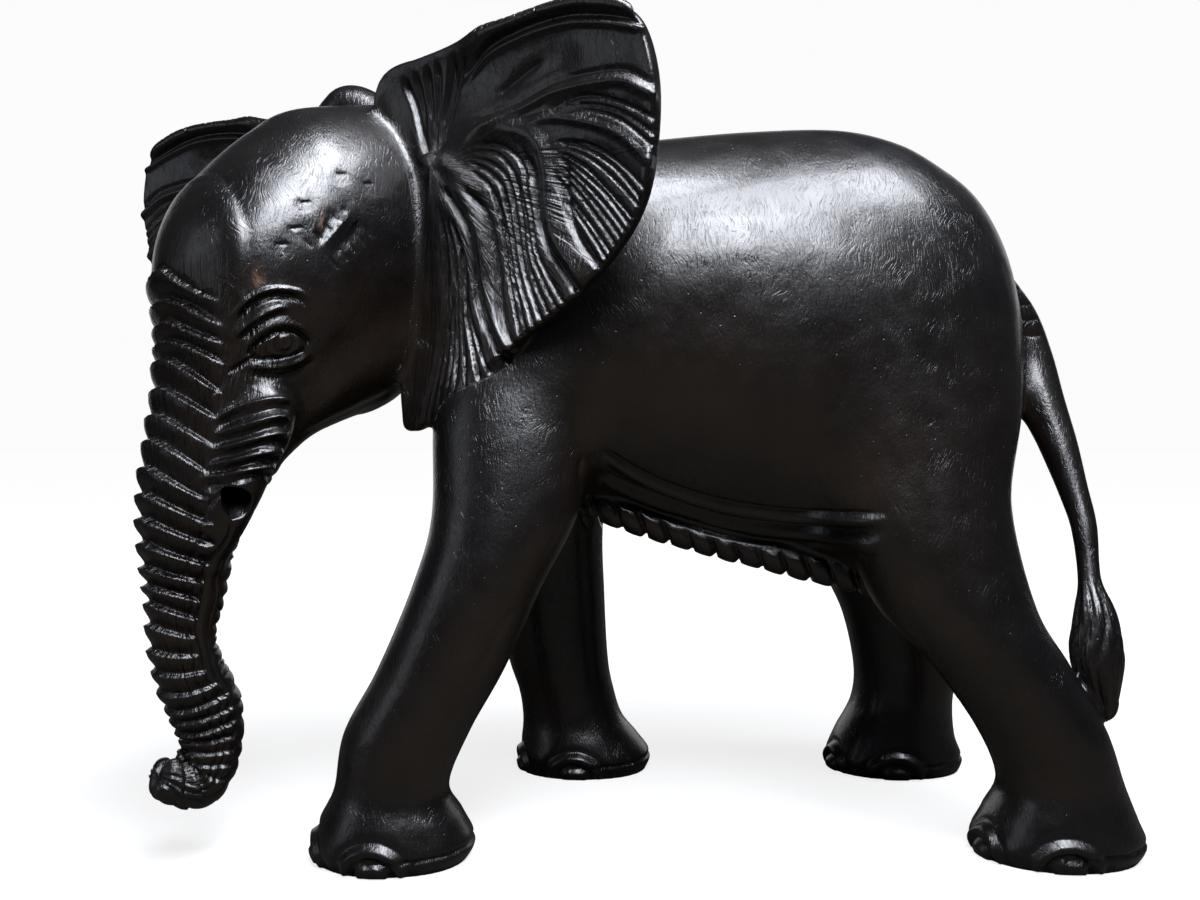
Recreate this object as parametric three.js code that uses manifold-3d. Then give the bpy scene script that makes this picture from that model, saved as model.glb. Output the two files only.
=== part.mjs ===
// Standing elephant carved from one block of black-stained hardwood.
// Millimetres, +Z up. The head end points to -X and the near flank to -Y.
import * as THREE from 'three';
import { mergeVertices } from 'three/addons/utils/BufferGeometryUtils.js';
import Module from 'manifold-3d';

// Driving dimensions. The figure is drawn on a carver's grid: the back stands
// 100 grid units over the floor, and every row below is in those units.
const backHeight = 400;
const unit = backHeight / 100;

// Pose, in degrees
const headTurn = 45;

// Wood that is set by itself, in millimetres
const earThickness = 9;
const earBowlDepth = 7;
const earRimRollHeight = 3;
const earFluteDepth = 1.6;
const trunkRingDepth = 2.4;
const trunkRingPitchAtBrow = 12.4;
const trunkRingPitchAtTip = 8.6;
const nailWidth = 17.6;
const nailHeight = 18.4;
const nailThickness = 5.2;
const nailSink = 1.6;
const nailLift = 0.4;
const scallopDepth = 2.2;

// Wood colour and polish
const woodColour = 0x16120f;
const woodRoughness = 0.38;

const wasm = await Module();
wasm.setup();

// Smooth value at place t in a list, passing through every entry
function glide(values, t) {
  const last = values.length - 1;
  const i = Math.min(Math.floor(Math.max(t, 0)), last - 1);
  const f = Math.min(Math.max(t, 0), last) - i;
  const [a, b, c, d] = [i - 1, i, i + 1, i + 2].map((n) => values[Math.min(Math.max(n, 0), last)]);
  return b + 0.5 * f * (c - a + f * (2 * a - 5 * b + 4 * c - d + f * (3 * (b - c) + d - a)));
}

// Point of a section at an angle: fullness 2 is an ellipse, more is squarer
function sectionPoint(angle, fullness) {
  const power = 2 / fullness;
  const c = Math.cos(angle);
  const s = Math.sin(angle);
  return [Math.sign(c) * Math.abs(c) ** power, Math.sign(s) * Math.abs(s) ** power];
}

// Closed skin over loops of points, with a pole at each end
function skin(loops, startPole, endPole) {
  const around = loops[0].length;
  const points = [startPole, ...loops.flat(), endPole];
  const endIndex = points.length - 1;
  const faces = [];
  for (let j = 0; j < around; j += 1) {
    const k = (j + 1) % around;
    faces.push(0, 1 + k, 1 + j);
    for (let i = 0; i < loops.length - 1; i += 1) {
      const near = 1 + i * around;
      const next = near + around;
      faces.push(near + j, near + k, next + k);
      faces.push(near + j, next + k, next + j);
    }
    const rim = 1 + (loops.length - 1) * around;
    faces.push(rim + j, rim + k, endIndex);
  }
  const geometry = new THREE.BufferGeometry();
  geometry.setAttribute('position', new THREE.Float32BufferAttribute(points.flatMap((p) => p.toArray()), 3));
  geometry.setIndex(faces);
  return geometry;
}

// Closed mesh as a solid that can be joined and cut
function solidOf(geometry) {
  const bare = geometry.clone();
  bare.deleteAttribute('normal');
  bare.deleteAttribute('uv');
  const merged = mergeVertices(bare, 1e-4);
  const make = (triVerts) => new wasm.Manifold(new wasm.Mesh({
    numProp: 3,
    vertProperties: new Float32Array(merged.attributes.position.array),
    triVerts,
  }));
  const faces = Uint32Array.from(merged.index.array);
  const solid = make(faces);
  return solid.volume() > 0 ? solid : make(faces.reverse());
}

// Limb through rows of x, y, z, half width and half depth. The width lies along
// side. Sections stay parallel where up is given, and else turn with the path.
// Its two ends are rounded over the given lengths, with a loop at each angle in caps.
function limb({
  rows, side, up, around, rings, stations, swell,
  startRound = 0, endRound = 0, fullness = 2, caps = [65, 42, 20],
}) {
  const columns = rows[0].map((_, c) => rows.map((row) => row[c]));
  const centreAt = (t) => new THREE.Vector3(...columns.slice(0, 3).map((column) => glide(column, t)));
  const last = rows.length - 1;
  const nudge = 0.01;
  const frameAt = (t) => {
    const ahead = centreAt(Math.min(t + nudge, last)).sub(centreAt(Math.max(t - nudge, 0))).normalize();
    if (up) return { across: side, depth: up, ahead: new THREE.Vector3().crossVectors(side, up) };
    const across = side.clone().addScaledVector(ahead, -side.dot(ahead)).normalize();
    return { across, depth: new THREE.Vector3().crossVectors(ahead, across), ahead };
  };
  const loopAt = (t, push, shrink) => {
    const { across, depth, ahead } = frameAt(t);
    const centre = centreAt(t).addScaledVector(ahead, push);
    return Array.from({ length: around }, (_, j) => {
      const angle = (2 * Math.PI * j) / around;
      const [c, s] = sectionPoint(angle, fullness);
      const grow = shrink * (swell ? swell(t, angle) : 1);
      return centre.clone()
        .addScaledVector(across, c * glide(columns[3], t) * grow)
        .addScaledVector(depth, s * glide(columns[4], t) * grow)
        .multiplyScalar(unit);
    });
  };
  const travel = Math.sign(up ? centreAt(last).sub(centreAt(0)).dot(frameAt(0).ahead) : 1);
  const capAngles = caps.map(THREE.MathUtils.degToRad);
  const loops = [];
  if (startRound) {
    capAngles.forEach((a) => loops.push(loopAt(0, -travel * startRound * Math.sin(a), Math.cos(a))));
  }
  const places = stations ?? Array.from({ length: rings + 1 }, (_, i) => (last * i) / rings);
  places.forEach((t) => loops.push(loopAt(t, 0, 1)));
  if (endRound) {
    [...capAngles].reverse().forEach((a) => {
      loops.push(loopAt(last, travel * endRound * Math.sin(a), Math.cos(a)));
    });
  }
  const pole = (t, push) => centreAt(t).addScaledVector(frameAt(t).ahead, push).multiplyScalar(unit);
  return skin(loops, pole(0, -travel * startRound), pole(last, travel * endRound));
}

const alongX = new THREE.Vector3(1, 0, 0);
const alongY = new THREE.Vector3(0, 1, 0);
const alongZ = new THREE.Vector3(0, 0, 1);

// Head directions: ahead toward the trunk, left toward the near side
const headCentre = new THREE.Vector3(-42.5, -13.75, 0);
const turn = THREE.MathUtils.degToRad(headTurn);
const headAhead = new THREE.Vector3(-Math.cos(turn), -Math.sin(turn), 0);
const headLeft = new THREE.Vector3(Math.sin(turn), -Math.cos(turn), 0);
function inHead(ahead, left, z) {
  return headCentre.clone().addScaledVector(headAhead, ahead).addScaledVector(headLeft, left).setZ(z);
}
const headRows = (rows) => rows.map(([ahead, left, z, wide, deep]) => [
  ...inHead(ahead, left, z).toArray(), wide, deep]);

// Barrel of the body from the neck to the rump
const body = limb({
  rows: [
    [-23, -1.5, 79.5, 15, 15.5],
    [-15, -0.75, 76.4, 20, 19.9],
    [-5, 0, 72, 24.5, 25.5],
    [7.5, 0, 70.9, 26, 27.9],
    [21.25, 0, 69.5, 26.75, 30.5],
    [35, 0, 67.4, 26.5, 32.9],
    [46.8, 0, 66.5, 23.4, 29],
  ],
  side: alongY, up: alongZ, around: 26, rings: 12, startRound: 7, endRound: 14.6, fullness: 2.2,
});

// Skull, from inside the neck to the brow
const skull = limb({
  rows: headRows([
    [-12.5, 0, 82, 15, 21.5],
    [0, 0, 80, 15.75, 20.6],
    [5, 0, 78.25, 15, 19.25],
    [10, 0, 76.5, 13.25, 16.5],
    [13, 0, 75.5, 11.25, 12.5],
  ]),
  side: headLeft, up: alongZ, around: 22, rings: 7, startRound: 8, endRound: 3.5, fullness: 2.1,
});

// Lower jaw and lip behind the trunk
const jaw = limb({
  rows: headRows([
    [-9, 0, 68, 13, 8.5],
    [0, 0, 62.8, 11, 7.6],
    [5, 0, 58.5, 7.4, 6],
    [7.8, 0, 55.6, 4.4, 3.75],
  ]),
  side: headLeft, up: alongZ, around: 12, rings: 5, startRound: 5, endRound: 1.5, caps: [50],
});

// Trunk with rings cut across its front, finer toward the tip
const trunkRows = [
  [6, 0, 85, 8.5, 7.5],
  [8.2, 0, 79, 10.5, 9],
  [8.2, 0, 72, 10.5, 8.75],
  [8.7, 0, 66, 10.2, 8.7],
  [10.4, 0, 60, 9.4, 8.7],
  [12.2, 0, 54, 8.4, 8.2],
  [14.2, 0, 48, 7, 7.2],
  [15.4, 0, 42, 5.9, 6],
  [15.75, 0, 36, 5, 5],
  [16.3, 0, 30, 4.1, 4.1],
  [15.2, 0, 25, 4.3, 4.3],
  [13.2, 0, 20.5, 4.5, 4.5],
  [12.3, 0, 16, 3.9, 3.9],
  [13.6, 0, 11.4, 3.7, 3.7],
  [16.2, 0, 10.7, 3.3, 3.2],
  [18.8, 0, 12, 2.7, 2.7],
];
// Places along the trunk where its rings crest and dip, at a pitch that shrinks
// from brow to tip. The smooth root of the trunk has two places and no ring.
const rootPlaces = [0, 0.7];
const firstRingAt = 1.5;
function trunkStations() {
  const rows = headRows(trunkRows);
  const last = rows.length - 1;
  const centreAt = (t) => [0, 1, 2].map((c) => glide(rows.map((row) => row[c]), t));
  const stations = [...rootPlaces];
  const fineStep = 0.01;
  let sinceLast = 0;
  for (let t = firstRingAt; t < last; t += fineStep) {
    const [a, b] = [centreAt(t), centreAt(t + fineStep)];
    const pitch = THREE.MathUtils.mapLinear(t, 0, last, trunkRingPitchAtBrow, trunkRingPitchAtTip) / unit;
    sinceLast += Math.hypot(...a.map((v, c) => b[c] - v)) / (pitch / 2);
    if (sinceLast >= 1) {
      stations.push(t);
      sinceLast -= 1;
    }
  }
  return [...stations, last];
}
const ringStations = trunkStations();
const frontAngle = Math.PI / 2;
const ringsAtBack = 0.2;
const trunk = limb({
  rows: headRows(trunkRows),
  side: headLeft, around: 13, stations: ringStations, startRound: 4, endRound: 1.2, caps: [45],
  swell: (t, angle) => {
    const crest = ringStations.indexOf(t) % 2 ? 1 : -1;
    const front = THREE.MathUtils.mapLinear(Math.cos(angle - frontAngle), -1, 1, ringsAtBack, 1);
    const wide = glide(trunkRows.map((row) => row[3]), t);
    return t < firstRingAt ? 1 : 1 + (crest * front * trunkRingDepth) / 2 / unit / wide;
  },
});

// Fleshy sheaths beside the trunk, each over an empty tusk socket
const sheaths = [1, -1].map((hand) => limb({
  rows: headRows([
    [8.6, 8.4 * hand, 60, 4, 3.8],
    [10, 8.3 * hand, 56.5, 4.4, 4.1],
    [11.6, 7.6 * hand, 52.6, 4, 3.8],
    [12.4, 7.2 * hand, 50.8, 3.4, 3.2],
  ]),
  side: headLeft, around: 12, rings: 4, startRound: 2.4, endRound: 1.2, caps: [45],
}));
const sockets = [1, -1].map((hand) => limb({
  rows: headRows([
    [12.2, 8.8 * hand, 51, 1.9, 1.9],
    [12.6, 8.2 * hand, 47.6, 1.8, 1.6],
    [13.2, 7.2 * hand, 43.8, 0.6, 0.6],
  ]),
  side: headLeft, around: 8, rings: 3, startRound: 1, endRound: 0.6, caps: [],
}));

// Eyes: almonds under two brow folds, on both cheeks
const eyes = [1, -1].map((hand) => limb({
  rows: headRows([
    [6.9, 10.6 * hand, 66.2, 0.5, 0.5],
    [8.6, 11 * hand, 66.9, 1.1, 1.6],
    [10.2, 10.6 * hand, 67.2, 1.1, 1.7],
    [12.6, 9.2 * hand, 66.7, 0.5, 0.5],
  ]),
  side: headLeft, around: 6, rings: 3, startRound: 0.4, endRound: 0.4, caps: [],
}));
const brows = [1, -1].flatMap((hand) => [0, 2.2].map((rise) => limb({
  rows: headRows([
    [5.6, 12 * hand, 68 + rise, 0.6, 0.5],
    [8, 12.2 * hand, 70.2 + rise, 0.9, 0.8],
    [10.6, 11.4 * hand, 70.6 + rise, 0.9, 0.8],
    [13, 10 * hand, 69.4 + rise, 0.6, 0.5],
  ]),
  side: headLeft, around: 6, rings: 3, startRound: 0.5, endRound: 0.5, caps: [],
})));

// Legs as level sections from the sole up into the trunk of the body
const leg = (hand, rows) => limb({
  rows: rows.map(([x, y, z, wide, deep]) => [x, y * hand, z, wide, deep]),
  side: alongX, up: alongY, around: 15, rings: 10, endRound: 8, fullness: 2.15, caps: [60, 30],
});
const nearFrontRows = [
  [-27.4, 21.25, 0, 9.8, 8.4],
  [-27.3, 21.25, 2.2, 10.7, 9.6],
  [-27.6, 21.25, 5.5, 9.4, 9],
  [-27.6, 21.25, 9.5, 7.5, 7.8],
  [-25.5, 21.25, 16.75, 8.3, 8],
  [-21, 21.25, 25, 8.4, 8.2],
  [-16.2, 21, 36, 8.6, 8.6],
  [-12.7, 19.8, 45.25, 9.7, 8.8],
  [-11.2, 17, 58.5, 11.3, 8.8],
  [-9.5, 14, 70, 11.5, 8],
];
const nearHindRows = [
  [61.1, 20, 0, 10.4, 8.4],
  [61.2, 20, 2.2, 11.3, 9.4],
  [61.4, 20, 5.5, 9.8, 9],
  [61.3, 20.4, 10, 8, 8],
  [58.4, 20.8, 17.25, 8.3, 8.2],
  [52.8, 21, 25.75, 9, 8.6],
  [47.2, 20.6, 33.25, 10.3, 9],
  [42.8, 19, 46, 12, 9.5],
  [41.9, 16.5, 60, 13.6, 9.3],
  [41, 14, 72, 12, 8],
];
const farFrontRows = [
  [-2.8, 21.25, 0, 10.4, 8.4],
  [-2.6, 21.25, 2.5, 11, 9.6],
  [-3.4, 21.25, 5.5, 9.7, 9],
  [-4.6, 21.25, 8.75, 8.3, 8],
  [-5.6, 21.25, 13, 7.9, 7.8],
  [-7, 21.25, 18.5, 8.3, 8],
  [-8.6, 21, 30, 9.3, 8.6],
  [-9, 19.8, 41, 9.5, 9],
  [-9, 17, 58.5, 11, 8.8],
  [-9, 14, 70, 11.5, 8],
];
const farHindRows = [
  [49.3, 21.25, 0, 10.6, 8.4],
  [49.3, 21.25, 2.2, 11.2, 9.6],
  [49.4, 21.25, 6, 9.8, 9],
  [50.6, 21.25, 11.25, 8.3, 8],
  [51.2, 21.25, 17, 8.4, 8.2],
  [50.3, 21.25, 25.75, 9.4, 8.6],
  [48, 20.6, 33.25, 10.6, 9],
  [44, 19, 46, 12, 9.5],
  [42.5, 16.5, 60, 13.6, 9.3],
  [42, 14, 72, 12, 8],
];

const legs = [
  leg(-1, nearFrontRows), leg(-1, nearHindRows), leg(1, farFrontRows), leg(1, farHindRows),
];

// Toenails: domes set round the front of each foot, rising from the floor
const nailAngles = [124, 193, 262];
function nailsOf(foot, hand) {
  const [x, y, , wide, deep] = foot;
  return nailAngles.map((degrees) => {
    const angle = THREE.MathUtils.degToRad(degrees);
    const dome = new THREE.SphereGeometry(1, 7, 4);
    dome.rotateX(Math.PI / 2);
    dome.scale(nailThickness, nailWidth, nailHeight / 2);
    dome.rotateZ(angle);
    const reachX = (wide * unit - nailSink) * Math.cos(angle);
    const reachY = (deep * unit - nailSink) * Math.sin(angle);
    dome.translate(x * unit + reachX, y * hand * unit + reachY, nailHeight / 2 + nailLift);
    return dome;
  });
}
const nails = [[nearFrontRows, -1], [nearHindRows, -1], [farFrontRows, 1], [farHindRows, 1]]
  .flatMap(([rows, hand]) => nailsOf(rows[1], hand));

// Ruffle of loose skin along each lower edge of the belly, cut in scallops
const scallops = 12;
const ruffleRows = [
  [-6, -8, 49.5, 1.4, 1.4],
  [-1, -10.5, 46.3, 2.2, 2.2],
  [10, -11, 42.9, 2.5, 2.5],
  [21, -11.5, 40, 2.5, 2.5],
  [31, -12, 37.4, 2.4, 2.4],
  [39, -13, 35, 1.8, 1.8],
];
const ruffles = [1, -1].map((hand) => limb({
  rows: ruffleRows.map(([x, y, z, wide, deep]) => [x, y * hand, z, wide, deep]),
  side: alongY, up: alongZ, around: 7, rings: 2 * scallops, startRound: 1, endRound: 1, caps: [],
  swell: (t) => {
    const step = Math.round((2 * scallops * t) / (ruffleRows.length - 1));
    const wide = glide(ruffleRows.map((row) => row[3]), t);
    return step % 2 ? 1 + scallopDepth / unit / wide : 1;
  },
}));

// Tail that hangs from the rump and is left joined to the near hind leg
const tail = limb({
  rows: [
    [56, 0, 79, 4, 4.5],
    [60.8, -1.5, 73, 3.6, 4],
    [63, -3.5, 67, 3.1, 3.1],
    [64, -6, 60.8, 3, 3],
    [65.3, -8.8, 54.6, 2.6, 2.6],
    [66.3, -11.8, 48.3, 2, 2],
    [66.9, -14.3, 43.1, 1.7, 1.7],
    [66.6, -17, 36.2, 1.5, 1.5],
    [66.8, -18.3, 31.2, 2.7, 2.7],
    [66.9, -19, 25.7, 3.3, 3.3],
    [67.5, -19.3, 20, 1.9, 2.2],
  ],
  side: alongX, around: 8, rings: 17, startRound: 2, endRound: 2.4, caps: [45],
});

// Fold of skin over the root of the far ear
const farEarFold = limb({
  rows: [
    [-41.5, 3.5, 101, 3, 3],
    [-38.3, 2.5, 105.2, 3.2, 3.2],
    [-34, 2, 103.5, 3.4, 3.4],
    [-30, 1, 98, 4, 4],
  ],
  side: alongY, around: 8, rings: 5, startRound: 2, endRound: 2, caps: [45],
});

// Ear: a carved leaf around its root, given as reach in grid units by angle
const earReach = [
  [0, 33.9], [15, 34.8], [26, 34.4], [34, 31], [48, 23.6], [60, 19.5], [80, 16.2], [100, 15.4], [125, 16.6],
  [145, 13.4], [165, 8.5], [190, 7], [225, 7], [245, 12], [254, 22], [259, 32], [262, 35.4], [270, 33.4],
  [285, 28.8], [304, 27.4], [325, 29.7], [345, 33],
];
function reachAt(degrees) {
  const turns = ((degrees % 360) + 360) % 360;
  const ring = [...earReach, [360, earReach[0][1]]];
  const i = ring.findIndex(([angle], n) => n + 1 < ring.length && turns >= angle && turns < ring[n + 1][0]);
  const f = (turns - ring[i][0]) / (ring[i + 1][0] - ring[i][0]);
  const reach = (n) => earReach[(n + earReach.length) % earReach.length][1];
  return glide([reach(i - 1), reach(i), reach(i + 1), reach(i + 2)], 1 + f);
}
// Height out of the ear's plane, in millimetres: a shallow bowl, a rolled rim over
// the top, and flutes cut from the root to the edge below it
const bowlSpan = 0.9 * Math.PI;
const rolledRim = { from: 5, to: 80, share: 0.9 };
const flutes = { from: 80, to: 380, share: 0.3 };
const lies = (degrees, share, { from, to, share: inner }) => share > inner && (
  (degrees > from && degrees < to) || degrees + 360 < to);
function earRelief(degrees, share, side, spoke) {
  const bowl = -earBowlDepth * Math.sin(share * bowlSpan);
  const rolled = side > 0 && lies(degrees, share, rolledRim) ? earRimRollHeight : 0;
  const fluted = side > 0 && lies(degrees, share, flutes) ? earFluteDepth * share : 0;
  return bowl + rolled + (spoke % 2 ? fluted : -fluted);
}
function ear({ root, outward, hand, lift = 0, size = 1 }) {
  const face = new THREE.Vector3().crossVectors(outward, alongZ).multiplyScalar(hand);
  const half = earThickness / 2;
  const spokes = 40;
  const shells = [0.3, 0.65, 0.93];
  const pointAt = (degrees, share, outOfFace) => {
    const angle = THREE.MathUtils.degToRad(degrees + lift);
    const reach = reachAt(degrees) * share * size;
    return root.clone()
      .addScaledVector(outward, reach * Math.cos(angle))
      .addScaledVector(alongZ, reach * Math.sin(angle))
      .addScaledVector(face, outOfFace / unit)
      .multiplyScalar(unit);
  };
  const loop = (share, side) => Array.from({ length: spokes }, (_, j) => {
    const degrees = (360 * j) / spokes;
    return pointAt(degrees, share, side * half + earRelief(degrees, share, side, j));
  });
  const front = shells.map((share) => loop(share, 1));
  const back = [...shells].reverse().map((share) => loop(share, -1));
  return skin([...front, loop(1, 0), ...back], pointAt(0, 0, half), pointAt(0, 0, -half));
}
const nearEar = ear({
  root: new THREE.Vector3(-22, -18.75, 91.5),
  outward: new THREE.Vector3(0.839, -0.545, 0).normalize(),
  hand: 1,
});
const farEar = ear({
  root: new THREE.Vector3(-47, 6.7, 91),
  outward: new THREE.Vector3(-0.914, 0.407, 0).normalize(),
  hand: -1,
  lift: -6,
  size: 0.9,
});

const parts = [body, skull, jaw, trunk, ...sheaths, ...eyes, ...brows, ...legs, ...nails, ...ruffles, tail,
  nearEar, farEar, farEarFold];
const joined = parts.map(solidOf).reduce((whole, piece) => whole.add(piece));
const carving = sockets.map(solidOf).reduce((whole, hollow) => whole.subtract(hollow), joined);

// Back to a plain mesh, standing on the floor and centred over the origin
const { vertProperties, triVerts } = carving.getMesh();
const geometry = new THREE.BufferGeometry();
geometry.setAttribute('position', new THREE.BufferAttribute(vertProperties, 3));
geometry.setIndex(new THREE.BufferAttribute(triVerts, 1));
geometry.computeBoundingBox();
const middle = geometry.boundingBox.getCenter(new THREE.Vector3());
geometry.translate(-middle.x, -middle.y, -geometry.boundingBox.min.z);

const elephant = new THREE.Mesh(geometry, new THREE.MeshStandardMaterial({
  color: woodColour, roughness: woodRoughness, metalness: 0,
}));
elephant.name = 'elephant';

const group = new THREE.Group();
group.add(elephant);
export default group;
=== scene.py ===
import math

import bpy
import numpy as np
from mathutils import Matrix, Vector


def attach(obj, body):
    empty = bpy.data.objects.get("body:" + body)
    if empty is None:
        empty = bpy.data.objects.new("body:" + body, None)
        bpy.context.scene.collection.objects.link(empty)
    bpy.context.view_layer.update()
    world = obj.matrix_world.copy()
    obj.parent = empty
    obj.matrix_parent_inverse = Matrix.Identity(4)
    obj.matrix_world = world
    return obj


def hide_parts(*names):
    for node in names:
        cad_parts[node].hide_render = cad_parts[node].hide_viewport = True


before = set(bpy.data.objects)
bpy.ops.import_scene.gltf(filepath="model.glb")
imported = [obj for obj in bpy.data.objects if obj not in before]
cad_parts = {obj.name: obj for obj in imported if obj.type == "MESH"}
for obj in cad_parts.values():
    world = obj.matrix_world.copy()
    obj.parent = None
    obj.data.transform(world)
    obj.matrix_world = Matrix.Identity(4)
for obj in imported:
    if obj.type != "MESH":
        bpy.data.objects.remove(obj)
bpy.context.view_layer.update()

# The block of wood
# The real piece is one block of dense hardwood, adzed and filed to a walking elephant, so everything
# below is one mesh. Its masses are limbs drawn through sections on a carver's grid, as in the solid, and
# they run smoothly into each other where a carver would have filed the joint away.
BACK_HEIGHT = 0.400
GRID = BACK_HEIGHT / 100
MILLIMETRE = 0.001 / GRID
HEAD_TURN = math.radians(45)
HEAD_AT = np.array([-42.5, -13.75, 0.0])
ALONG_X, ALONG_Y, ALONG_Z = np.eye(3)
HEAD_AHEAD = np.array([-math.cos(HEAD_TURN), -math.sin(HEAD_TURN), 0.0])
HEAD_LEFT = np.array([math.sin(HEAD_TURN), -math.cos(HEAD_TURN), 0.0])


def glide(rows, place):
    """Cubic through the four nearest rows at each place, so that the line passes through every row."""
    rows = np.asarray(rows, float)
    last = len(rows) - 1
    i = np.minimum(np.floor(np.maximum(place, 0)).astype(int), last - 1)
    f = (np.clip(place, 0, last) - i)[..., None]
    a, b, c, d = (rows[np.clip(i + k, 0, last)] for k in (-1, 0, 1, 2))
    return b + 0.5 * f * (c - a + f * (2 * a - 5 * b + 4 * c - d + f * (3 * (b - c) + d - a)))


def unit_rows(v):
    """Each row divided by its own length."""
    return v / np.maximum(np.linalg.norm(v, axis=1, keepdims=True), 1e-9)


def soft_join(a, b, softness):
    """Smooth minimum: the smaller distance, less a parabola where the two differ by under the softness."""
    h = np.clip(0.5 + 0.5 * (a - b) / softness, 0, 1)
    return a + (b - a) * h - softness * h * (1 - h)


def ramp(x, start, end):
    """0 before start, 1 after end, and a smooth S between."""
    t = np.clip((x - start) / (end - start), 0, 1)
    return t * t * (3 - 2 * t)


def near_box(points, low, high, margin=0.0):
    """Indexes of the points inside a box that is widened by the margin."""
    return np.flatnonzero(((points > low - margin) & (points < high + margin)).all(axis=1))


class Limb:
    """Solid through rows of x, y, z, half width, half depth. A point's share of its section is the
    superellipse norm of its offset over the half sizes. Its distance from the skin is the length of the
    offset times (1 - 1 / share), over the skin's slant along the limb."""

    def __init__(self, rows, side, up=None, start_round=0.0, end_round=0.0, fullness=2.0):
        rows = np.array(rows, float)
        self.place = np.linspace(0, len(rows) - 1, 20 * (len(rows) - 1) + 1)
        line = glide(rows, self.place)
        self.centre, self.size = line[:, :3], line[:, 3:5]
        self.level = up is not None
        if self.level:
            ahead = np.cross(side, up)
            ahead = ahead * np.sign((self.centre[-1] - self.centre[0]) @ ahead)
            self.ahead, self.across, self.depth = (np.tile(v, (len(line), 1)) for v in (ahead, side, up))
        else:
            self.ahead = unit_rows(np.gradient(self.centre, axis=0))
            self.across = unit_rows(side - (self.ahead @ side)[:, None] * self.ahead)
            self.depth = np.cross(self.ahead, self.across)
        self.length = np.r_[0, np.cumsum(np.linalg.norm(np.diff(self.centre, axis=0), axis=1))]
        self.slant = np.hypot(1, np.gradient(self.size.max(axis=1)) / np.gradient(self.length))
        self.rounds = (start_round, end_round)
        self.fullness = fullness
        reach = self.size.max(axis=1, keepdims=True) + max(self.rounds)
        self.low = (self.centre - reach).min(axis=0)
        self.high = (self.centre + reach).max(axis=0)

    def nearest(self, points):
        """Place of the nearest station along the limb, as a fraction of the station list."""
        last = len(self.centre) - 1
        if self.level:
            keys = self.centre @ self.ahead[0]
            return np.interp(points @ self.ahead[0], keys, np.arange(last + 1.0))
        half_squares = 0.5 * (self.centre ** 2).sum(axis=1)
        found = np.concatenate([(half_squares - block @ self.centre.T).argmin(axis=1)
                                for block in np.array_split(points, len(points) // 20000 + 1)])
        spacing = np.gradient(self.length)[found]
        beyond = ((points - self.centre[found]) * self.ahead[found]).sum(axis=1)
        return np.clip(found + beyond / spacing, 0, last)

    def measure(self, points):
        """Distance of each point from the skin, its place along the limb in rows, and its offset across and
        in depth as shares of the half sizes."""
        last = len(self.centre) - 1
        station = self.nearest(points)
        i = np.minimum(station.astype(int), last - 1)
        f = (station - i)[:, None]
        centre, across, depth, ahead, size = (
            v[i] + (v[i + 1] - v[i]) * f
            for v in (self.centre, self.across, self.depth, self.ahead, self.size))
        offset = points - centre
        a = (offset * across).sum(axis=1) / size[:, 0]
        b = (offset * depth).sum(axis=1) / size[:, 1]
        along = (offset * ahead).sum(axis=1)
        over = np.where(station <= 0, -along, np.where(station >= last, along, 0)).clip(0)
        rounding = np.where(station <= 0, *self.rounds)
        rounded = over / np.where(rounding > 0, rounding, 1)
        share = (np.abs(a) ** self.fullness + np.abs(b) ** self.fullness) ** (1 / self.fullness)
        share = np.where(rounding > 0, np.hypot(share, rounded), share).clip(1e-3)
        distance = np.linalg.norm(offset, axis=1).clip(1e-3) * (1 - 1 / share) / self.slant[i]
        distance = np.where((rounding > 0) | (over <= 0), distance, np.maximum(distance, over))
        row = self.place[i] + (self.place[i + 1] - self.place[i]) * f[:, 0]
        return distance, row, a, b

    def distance(self, points):
        """Distance of each point from the skin, below zero inside the wood."""
        return self.measure(points)[0]


def in_head(rows):
    """Rows of ahead, left, height turned with the head, with the other columns kept."""
    return [[*(HEAD_AT + ahead * HEAD_AHEAD + left * HEAD_LEFT + [0, 0, z]), *rest]
            for ahead, left, z, *rest in rows]


def head_place(points):
    """Ahead, left and height of each point in the turned head."""
    flat = points - HEAD_AT
    return flat @ HEAD_AHEAD, flat @ HEAD_LEFT, points[:, 2]


body = Limb([
    [-23, -1.5, 79.5, 15, 15.5], [-15, -0.75, 76.4, 20, 19.9], [-5, 0, 72, 24.5, 25.5],
    [7.5, 0, 70.9, 26, 27.9], [21.25, 0, 69.5, 26.75, 30.5], [34, 0, 67.5, 26.6, 32.8],
    [42.5, 0, 66.9, 25.4, 31.6], [48.5, 0, 66.5, 23.2, 28.8], [53, 0, 66.2, 20.7, 25.7],
    [56.4, 0, 65.9, 17.2, 21.3], [58.9, 0, 65.6, 12.8, 15.9], [60.2, 0, 65.5, 9.2, 11.4],
    [60.9, 0, 65.4, 5.6, 6.9],
], ALONG_Y, ALONG_Z, 7, 0.5, 2.2)
skull = Limb(in_head([
    [-12.5, 0, 82, 15, 21.5], [0, 0, 80, 15.75, 20.6], [5, 0, 78.25, 15, 19.25],
    [10, 0, 76.5, 13.25, 16.5], [13, 0, 75.5, 11.25, 12.5],
]), HEAD_LEFT, ALONG_Z, 8, 3.5, 2.1)
jaw = Limb(in_head([
    [-9, 0, 68, 13, 8.5], [0, 0, 62.8, 11, 7.6], [5, 0, 58.5, 7.4, 6], [7.8, 0, 55.6, 4.4, 3.75],
]), HEAD_LEFT, ALONG_Z, 5, 1.5)
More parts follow.
